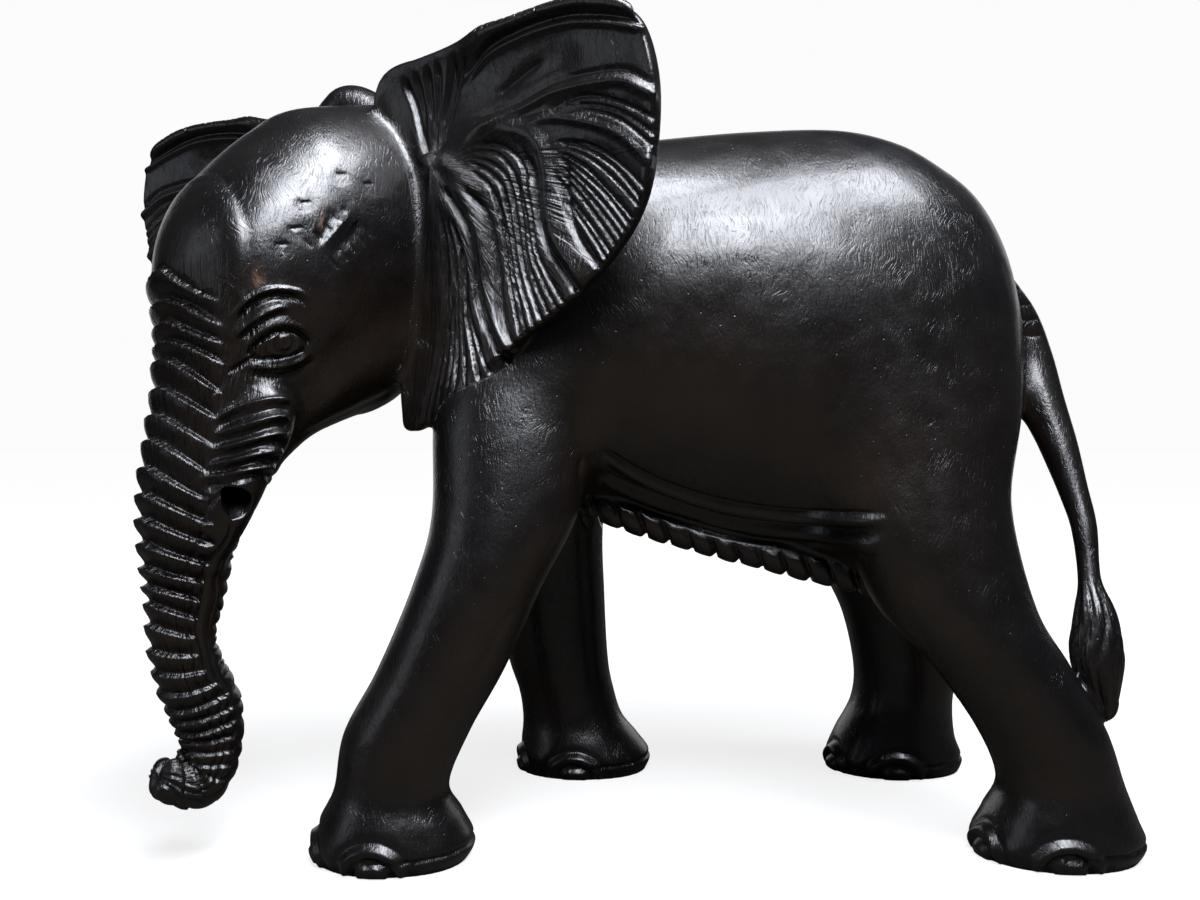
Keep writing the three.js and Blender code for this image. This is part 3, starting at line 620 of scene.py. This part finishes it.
def carve_flank(points, normals, relief, hand, fineness):
    """Flank seen from the side, length across and height up. Strokes give it two long folds over the ruffle,
    creases at the limbs and four notches over the tail."""
    facing = ramp(-hand * normals[:, 1], 0.03, 0.3) * ramp(-hand * points[:, 1], 2, 5)
    off_ear = ramp(np.where(points[:, 0] < 12, ears[0].distance(points), 9), 0.2, 0.8) if hand > 0 else 1
    flank = Face(points[:, [0, 2]], facing * off_ear)
    upper = [(0.2, 54.2), (4.5, 51.4), (9.6, 49), (16, 47), (22, 46), (28, 45.6), (37.2, 46)]
    lower = [(-0.4, 51.2), (5, 48.4), (10.8, 46.2), (16.5, 44.4), (21.5, 43.6), (27.3, 43.3), (36.4, 42.6)]
    for path in (upper, lower):
        flank.cut(path, 1.8, 1.3, 0.05, 0.1)
        flank.cut([(x + 0.2, z - 1.05) for x, z in path], -2.4, 2.8, 0.05, 0.08)
        flank.cut([(x + 0.3, z - 2.3) for x, z in path], 1.2, 2.0, 0.1, 0.1)
    flank.cut([(-2.4, 53.2), (-2.6, 49), (-2, 45.2)], 1.6, 1.6)
    flank.cut([(-10.2, 34.8), (-13, 30.6), (-16, 24.6), (-19.8, 16.9)], 0.6, 2.4)
    flank.cut([(39.3, 34.6), (40.2, 31.4), (46.1, 23.5)], 0.6, 2.2)
    flank.cut([(49.5, 21.3), (52, 15.4), (54.7, 10)], 0.5, 2.2)
    for k in range(4):
        notch = [(57.6 + 0.7 * k, 78 - 2.3 * k), (60.4 + 0.6 * k, 77 - 2.3 * k),
                 (63 + 0.5 * k, 77.6 - 2.4 * k)]
        flank.cut(notch, 1.0, 1.0)
    flank.height *= fineness
    flank.raise_skin(relief)


def carve_scallops(points, relief):
    """Ruffle under the lower fold, cut across every 13 mm. Each scallop is half a sine wave that leans back
    as it rises, with a narrow bell cut at its end."""
    x, y, z = points.T
    top = np.interp(x, [-2.4, 0.7, 6.3, 9.8, 13.3, 19.8, 27, 36, 40],
                    [48.3, 47.2, 45, 43.6, 42.3, 40.6, 39.4, 38.2, 37.4])
    low = np.interp(x, [-6, 0.4, 4.8, 11.1, 17.6, 23.9, 31.9, 39],
                    [46, 43.4, 42.6, 40.3, 38.5, 36.8, 35, 33])
    band = ramp(top - z, 0, 0.9) * ramp(z - low, -4, -2.5) * ramp(x, -4, -2) * (1 - ramp(x, 38, 40))
    band *= ramp(np.abs(y), 7, 9) * (1 - ramp(np.abs(y), 17, 20))
    near = np.flatnonzero(band > 0.01)
    pitch = 3.3
    lean = 0.35 * (z[near] - low[near])
    place = (x[near] + lean) / pitch
    part = place - np.floor(place)
    deep = 0.7 + 0.5 * np.abs(np.sin(7.3 * np.floor(place)))
    cut = bell((part - 0.9) * pitch, 0.36)
    relief[near] += band[near] * MILLIMETRE * (0.9 * np.sin(math.pi * part) ** 0.7 * deep - 2.4 * cut * deep)


# Station along a leg that lies a little above its sole, where the foot is widest
ABOVE_SOLE = 8


def carve_feet(points, relief):
    """Three nails at each foot: by distance from a point on the floor line, a round dome and a raised arch
    with a groove beside each. A shallow line runs round the rest above the sole."""
    for foot in legs:
        sole, size = foot.centre[ABOVE_SOLE], foot.size[ABOVE_SOLE]
        low = np.flatnonzero((points[:, 2] < 7.5) & (np.abs(points[:, :2] - sole[:2]) < 15).all(axis=1))
        offset = points[low, :2] - sole[:2]
        angle = np.arctan2(offset[:, 1] / size[1], offset[:, 0] / size[0])
        height = points[low, 2]
        for degrees in (124, 193, 262):
            away = np.mod(angle - math.radians(degrees) + math.pi, 2 * math.pi) - math.pi
            spread = np.hypot(away * 10.4, (height + 0.2) * 1.02)
            dome = 2.3 * (1 - ramp(spread, 1.8, 2.6)) + 1.9 * bell(spread - 3.9, 0.6)
            dome += 0.5 * bell(spread - 3.3, 0.3)
            groove = 1.2 * bell(spread - 2.9, 0.35) + 1.0 * bell(spread - 5.1, 0.5)
            relief[low] += MILLIMETRE * (dome - groove) * ramp(height, 0.0, 0.5)
        rear = np.cos(angle) > -0.2
        relief[low] -= 1.8 * MILLIMETRE * bell(height - 2.0 - 0.5 * np.cos(angle), 0.34) * rear


def carve_tuft(points, relief):
    """Brush of the tail cut lengthwise in locks: waves of the angle round it that drift along it."""
    near = near_box(points, tail.low, tail.high)
    distance, row, a, b = tail.measure(points[near])
    own = (1 - ramp(distance, 0.4, 1.2)) * ramp(row, 6.9, 7.7)
    angle = np.arctan2(a, b)
    locks = np.abs(np.sin(4.5 * angle + 0.9 * np.sin(2.2 * row) + 0.8 * row)) ** 0.7
    fine = np.abs(np.sin(11 * angle - 1.4 * row))
    relief[near] += own * MILLIMETRE * (1.5 * (locks - 0.6) + 0.6 * (fine - 0.5))


# The carved elephant
# The whole figure is one piece of black-stained hardwood, waxed and rubbed, on its own four feet. It is one
# closed mesh: a net over the smooth masses, drawn finer twice, set on them, moved by the carving and then
# thinned where the skin is plain.
NET_STEP = 0.85
TRIANGLES = 190000
net_low, net_high = np.array([-82.0, -42.0, -1.3]), np.array([77.0, 38.0, 115.0])
points, quads = surface_net(net_low, net_high, NET_STEP)
for finer in range(3):
    if finer:
        points, quads = split_quads(points, quads)
    points = points - point_normals(points, quads) * np.clip(block_distance(points), -0.5, 0.5)[:, None]
normals = point_normals(points, quads)
middle = 0.5 * (points.min(axis=0) + points.max(axis=0)) * [1, 1, 0]

relief = np.zeros(len(points))
carve_rings(points, relief)
carve_head(points, normals, relief, 1, 1.0)
carve_head(points, normals, relief, -1, 0.8)
carve_ear(points, normals, relief, ears[0], 5, 1.0)
carve_ear(points, normals, relief, ears[1], 9, 0.45)
carve_flank(points, normals, relief, 1, 1.0)
carve_flank(points, normals, relief, -1, 0.7)
carve_scallops(points, relief)
carve_feet(points, relief)
carve_tuft(points, relief)
points = points + normals * relief[:, None]
points[:, 2] = np.maximum(points[:, 2], 0)


def mesh_of(name, points, faces):
    """Smooth-shaded mesh in metres from points in grid units, centred over the origin."""
    mesh = bpy.data.meshes.new(name)
    mesh.vertices.add(len(points))
    mesh.vertices.foreach_set("co", ((points - middle) * GRID).ravel())
    mesh.loops.add(faces.size)
    mesh.loops.foreach_set("vertex_index", faces.ravel().astype(np.int32))
    mesh.polygons.add(len(faces))
    mesh.polygons.foreach_set("loop_start", np.arange(0, faces.size, 4, dtype=np.int32))
    mesh.polygons.foreach_set("use_smooth", np.ones(len(faces), bool))
    mesh.update(calc_edges=True)
    return mesh


elephant = bpy.data.objects.new("carved_elephant", mesh_of("dense_net", points, quads))
bpy.context.collection.objects.link(elephant)
thin = elephant.modifiers.new("thin", "DECIMATE")
thin.ratio = TRIANGLES / (2 * len(quads))
thinned = bpy.data.meshes.new_from_object(elephant.evaluated_get(bpy.context.evaluated_depsgraph_get()))
elephant.modifiers.clear()
dense = elephant.data
elephant.data = thinned
bpy.data.meshes.remove(dense)
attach(elephant, "root")
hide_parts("elephant")

flat = np.empty(3 * len(thinned.vertices))
thinned.vertices.foreach_get("co", flat)
kept = flat.reshape(-1, 3) / GRID + middle
tool_marks = tool_lines(kept)
marks = thinned.attributes.new("tool_marks", "FLOAT_VECTOR", "POINT")
marks.data.foreach_set("vector", tool_marks.ravel())
u, v, z = head_place(kept)
bare = np.zeros(len(kept))
for ahead, height, wide, high in ((4.7, 83.5, 0.25, 1.1), (12.3, 75.9, 0.3, 0.7), (12, 75, 0.8, 0.25)):
    bare = np.maximum(bare, bell(np.hypot((u - ahead) / wide, (z - height) / high), 1) * (v > 4))
wear = thinned.attributes.new("bare_wood", "FLOAT", "POINT")
wear.data.foreach_set("value", bare)
up = np.empty(3 * len(kept))
thinned.vertices.foreach_get("normal", up)
# Painted warm reflection: brown on skin that faces sideways or down, from a little above the soles to below
# the head's top, and on the lower flank
lower_flank_reflection = bell(kept[:, 0] - 22, 26) * bell(kept[:, 2] - 50, 13) * ramp(0.35 - up[2::3], 0, 0.4)
warm_reflection = np.maximum(ramp(0.25 - up[2::3], 0, 0.7) * ramp(kept[:, 2], 3, 12), lower_flank_reflection)
warm_reflection *= 1 - ramp(kept[:, 2], 70, 84)
painted_warm_reflection = thinned.attributes.new("painted_warm_reflection", "FLOAT", "POINT")
painted_warm_reflection.data.foreach_set("value", warm_reflection)


def linear(colour):
    """sRGB hex colour as linear red, green, blue and alpha."""
    channels = [int(colour[i:i + 2], 16) / 255 for i in (1, 3, 5)]
    return [c / 12.92 if c <= 0.04045 else ((c + 0.055) / 1.055) ** 2.4 for c in channels] + [1.0]


def node(tree, kind, inputs, **settings):
    """Adds a shader node with its own settings, and gives each named input a value or a linked socket."""
    made = tree.nodes.new("ShaderNode" + kind)
    for name, value in settings.items():
        setattr(made, name, value)
    for name, value in inputs.items():
        if isinstance(value, bpy.types.NodeSocket):
            tree.links.new(value, made.inputs[name])
        else:
            made.inputs[name].default_value = value
    return made


def black_hardwood():
    """Black-stained hardwood, waxed and rubbed, with bare wood and a painted warm reflection where the
    mesh's attributes say.
    """
    # The eye sees near black with soft satin highlights that the hair scratches, pits and tool lines break,
    # and a painted warm reflection, brown in patches, on the lower flank, the legs and other skin that faces
    # sideways or down
    wood = bpy.data.materials.new("black-stained hardwood, waxed and rubbed")
    wood.use_nodes = True
    tree = wood.node_tree
    shader = tree.nodes["Principled BSDF"]
    place = node(tree, "TexCoord", {}).outputs["Object"]
    marks = node(tree, "Attribute", {}, attribute_name="tool_marks").outputs["Vector"]
    strength = node(tree, "SeparateXYZ", {"Vector": marks}).outputs["Z"]
    bare = node(tree, "Attribute", {}, attribute_name="bare_wood").outputs["Fac"]
    warm_reflection = node(tree, "Attribute", {}, attribute_name="painted_warm_reflection").outputs["Fac"]

    def noise(vector, scale, detail, low, high):
        """Noise with scale features in a unit of the vector, spread over 0 to 1 from low to high."""
        found = node(tree, "TexNoise", {
            "Vector": vector, "Scale": scale, "Detail": detail, "Roughness": 0.6})
        return node(tree, "MapRange", {
            "Value": found.outputs["Fac"], "From Min": low, "From Max": high}).outputs["Result"]

    def product(a, b):
        """The two values multiplied."""
        return node(tree, "Math", {0: a, 1: b}, operation="MULTIPLY").outputs[0]

    def mixed(share, first, second):
        """The first colour, with that share of the second mixed in."""
        return node(tree, "Mix", {6: first, 7: second, 0: share}, data_type="RGBA").outputs[2]

    # Sizes of the patterns in millimetres, where the Object coordinates count metres
    metre = 1000.0
    stain_patch = 71.4
    reflection_patch = 50.0
    bare_fibre = 1.11
    wax_smear = 16.7
    stain = mixed(noise(place, metre / stain_patch, 4.0, 0.38, 0.66), linear("#070607"), linear("#0e0b09"))
    # Painted warm reflection: brown mixed into the stain where the attribute says, broken into patches by
    # noise
    rubbed = product(warm_reflection, noise(place, metre / reflection_patch, 5.0, 0.24, 0.6))
    warm = mixed(rubbed, stain, linear("#20170f"))
    raw = product(bare, noise(place, metre / bare_fibre, 3.0, 0.35, 0.55))
    tree.links.new(mixed(raw, warm, linear("#7d6350")), shader.inputs["Base Color"])

    smears = noise(place, metre / wax_smear, 6.0, 0.3, 0.7)
    gloss = node(tree, "MapRange", {"Value": smears, "To Min": 0.26, "To Max": 0.37}).outputs["Result"]
    tree.links.new(gloss, shader.inputs["Roughness"])
    shader.inputs["Specular IOR Level"].default_value = 0.5
    shader.inputs["Coat Weight"].default_value = 0.2
    shader.inputs["Coat Roughness"].default_value = 0.14

    def bump(height, depth, under=None):
        """Relief of the given depth in metres over the relief under it."""
        inputs = {"Height": height, "Distance": depth, "Strength": 1.0}
        if under:
            inputs["Normal"] = under
        return node(tree, "Bump", inputs).outputs["Normal"]

    # Widths and lengths of the marks in millimetres. Real hair scratches are a tenth as wide as these, which
    # are drawn as coarse as the render needs to show them.
    file_hollow = 33.3
    skin_grain = 2.0
    scratch_bend = 22.2
    scratch_long = (4.545, 5.882)
    scratch_turns = ((0.3, 0.769), (1.2, 0.833), (2.0, 0.714), (2.7, 0.909))
    pit_gap = 6.67
    gouge_line = (1.82, 20.0)
    knife_line = (4.55, 50.0)
    filed = bump(noise(place, metre / file_hollow, 2.0, 0.2, 0.8), 0.0006)
    scratched = bump(noise(place, metre / skin_grain, 4.0, 0.3, 0.7), 0.00007, filed)
    bent = node(tree, "TexNoise", {
        "Vector": place, "Scale": metre / scratch_bend, "Detail": 1.0}).outputs["Color"]
    curled = node(tree, "VectorMath", {
        0: bent, 1: (0.02, 0.02, 0.02), 2: place}, operation="MULTIPLY_ADD").outputs["Vector"]
    for turn, wide in scratch_turns:
        scale = tuple(metre / size for size in (wide, *scratch_long))
        turned = node(tree, "Mapping", {
            "Vector": curled, "Rotation": (0.0, turn, 0.0), "Scale": scale}).outputs["Vector"]
        scratched = bump(noise(turned, 1.0, 0.0, 0.66, 0.78), -0.00006, scratched)
    cells = node(tree, "TexVoronoi", {"Vector": place, "Scale": metre / pit_gap}).outputs["Distance"]
    pit = node(tree, "MapRange", {"Value": cells, "From Min": 0.05, "From Max": 0.11}).outputs["Result"]
    relieved = bump(pit, 0.00013, scratched)
    for (wide, long), detail, low, high, depth in (
        (gouge_line, 3.0, 0.3, 0.7, 0.0005), (knife_line, 2.0, 0.5, 0.6, -0.0007),
    ):
        lines = node(tree, "VectorMath", {
            0: marks, 1: (1 / wide, 1 / long, 0.0)}, operation="MULTIPLY").outputs["Vector"]
        relieved = bump(product(noise(lines, 1.0, detail, low, high), strength), depth, relieved)
    tree.links.new(relieved, shader.inputs["Normal"])
    return wood


thinned.materials.append(black_hardwood())

# The floor and the studio
# A sheet of matt white paper lies flat under the feet and runs out to near-white air, as in a studio. The
# camera sees the paper with a painted glow of its own on top of its lamp light, and the air near white. The
# waxed wood sees the paper as a painted dim grey and reflects a dim room, so that the figure stays black.
floor_mesh = bpy.data.meshes.new("studio_floor")
FLOOR_REACH = 12.0
floor_mesh.from_pydata([(-FLOOR_REACH, -FLOOR_REACH, 0), (FLOOR_REACH, -FLOOR_REACH, 0),
                        (FLOOR_REACH, FLOOR_REACH, 0), (-FLOOR_REACH, FLOOR_REACH, 0)], [], [(0, 1, 2, 3)])
floor = bpy.data.objects.new("studio_floor", floor_mesh)
bpy.context.collection.objects.link(floor)
# Matt paper gives the eye a faint soft shadow at the feet and no highlight, and a painted glow of its own
# makes it whiter farther out
paper = bpy.data.materials.new("matt white paper")
paper.use_nodes = True
sheet = paper.node_tree
sheet.nodes.remove(sheet.nodes["Principled BSDF"])
seen = node(sheet, "LightPath", {}).outputs["Is Camera Ray"]
place = node(sheet, "TexCoord", {}).outputs["Object"]
off = node(sheet, "VectorMath", {0: place}, operation="LENGTH").outputs["Value"]
# Painted glow: the paper emits light of its own, weaker near the figure and stronger farther out
lit = node(sheet, "MapRange", {
    "Value": off, "From Min": 0.3, "From Max": 1.1, "To Min": 0.8, "To Max": 0.97}).outputs["Result"]
glow = node(sheet, "Emission", {"Color": linear("#ffffff"), "Strength": lit}).outputs["Emission"]
matt = node(sheet, "BsdfDiffuse", {"Color": linear("#8a8a8a")}).outputs["BSDF"]
pale = node(sheet, "AddShader", {0: glow, 1: matt}).outputs["Shader"]
# Painted shade: what the wood reflects of the paper is a dim grey, not white
grey = node(sheet, "BsdfDiffuse", {"Color": linear("#45433f")}).outputs["BSDF"]
shown = node(sheet, "MixShader", {0: seen, 1: grey, 2: pale}).outputs["Shader"]
sheet.links.new(shown, sheet.nodes["Material Output"].inputs["Surface"])
floor_mesh.materials.append(paper)

# The air is near white where the camera sees it, and a dim cool grey in what the wood reflects
world = bpy.data.worlds.new("studio air")
world.use_nodes = True
air = world.node_tree
seen = node(air, "LightPath", {}).outputs["Is Camera Ray"]
dim = node(air, "Background", {"Color": linear("#8f97a3"), "Strength": 0.12}).outputs["Background"]
paper_white = node(air, "Background", {"Color": linear("#ffffff"), "Strength": 0.97}).outputs["Background"]
shown = node(air, "MixShader", {0: seen, 1: dim, 2: paper_white}).outputs["Shader"]
air.links.new(shown, air.nodes["World Output"].inputs["Surface"])
bpy.context.scene.world = world


def aimed(lamp, place, target):
    """Puts a lamp at a place and turns it to face the target."""
    lamp.location = place
    lamp.rotation_euler = (Vector(target) - Vector(place)).to_track_quat("-Z", "Y").to_euler()
    bpy.context.collection.objects.link(lamp)
    return lamp


def soft_box(name, place, target, size, power, colour):
    """A rectangular area light of the given width and height in metres, hidden from the camera."""
    light = bpy.data.lights.new(name, "AREA")
    light.shape = "RECTANGLE"
    light.size, light.size_y = size
    light.energy = power
    light.color = linear(colour)[:3]
    lamp = aimed(bpy.data.objects.new(name, light), place, target)
    lamp.visible_camera = False
    return lamp


# The key box gives the broad highlight on the back and forehead, and the strip the one along the spine and
# rump. The head box picks out the lids and ring lips, the left box the trunk's front, the wash the outline.
soft_box("key box", (0.14, -0.95, 1.20), (0.0, 0.0, 0.25), (0.62, 0.44), 21, "#f3f6ff")
soft_box("top strip", (0.42, -0.42, 1.42), (0.0, 0.0, 0.25), (1.15, 0.45), 32, "#f3f6ff")
soft_box("head box", (-0.03, -0.17, 0.78), (-0.18, -0.03, 0.33), (0.22, 0.16), 3, "#f3f6ff")
soft_box("left box", (-1.9, -0.95, 0.7), (-0.1, 0.0, 0.3), (0.9, 1.3), 3.4, "#eef3ff")
soft_box("back wash", (0.0, 2.2, 0.7), (0.0, 0.0, 0.2), (4.0, 1.4), 14, "#ffffff")

# The camera
# It stands where the photograph was taken from, square to the figure's left side and a little above half its
# height. Its lens is a little wide, and it dips by about a degree.
CAMERA_BACK = 0.720
CAMERA_HEIGHT = 0.226
CAMERA_DIP = 0.95
camera_data = bpy.data.cameras.new("camera")
camera_data.sensor_width = 36
camera_data.lens = 36
camera = bpy.data.objects.new("camera", camera_data)
camera.location = (-middle[0] * GRID, -middle[1] * GRID - CAMERA_BACK, CAMERA_HEIGHT)
camera.rotation_euler = (math.radians(90 - CAMERA_DIP), 0, 0)
bpy.context.collection.objects.link(camera)
bpy.context.scene.camera = camera
bpy.context.scene.view_settings.view_transform = "Standard"
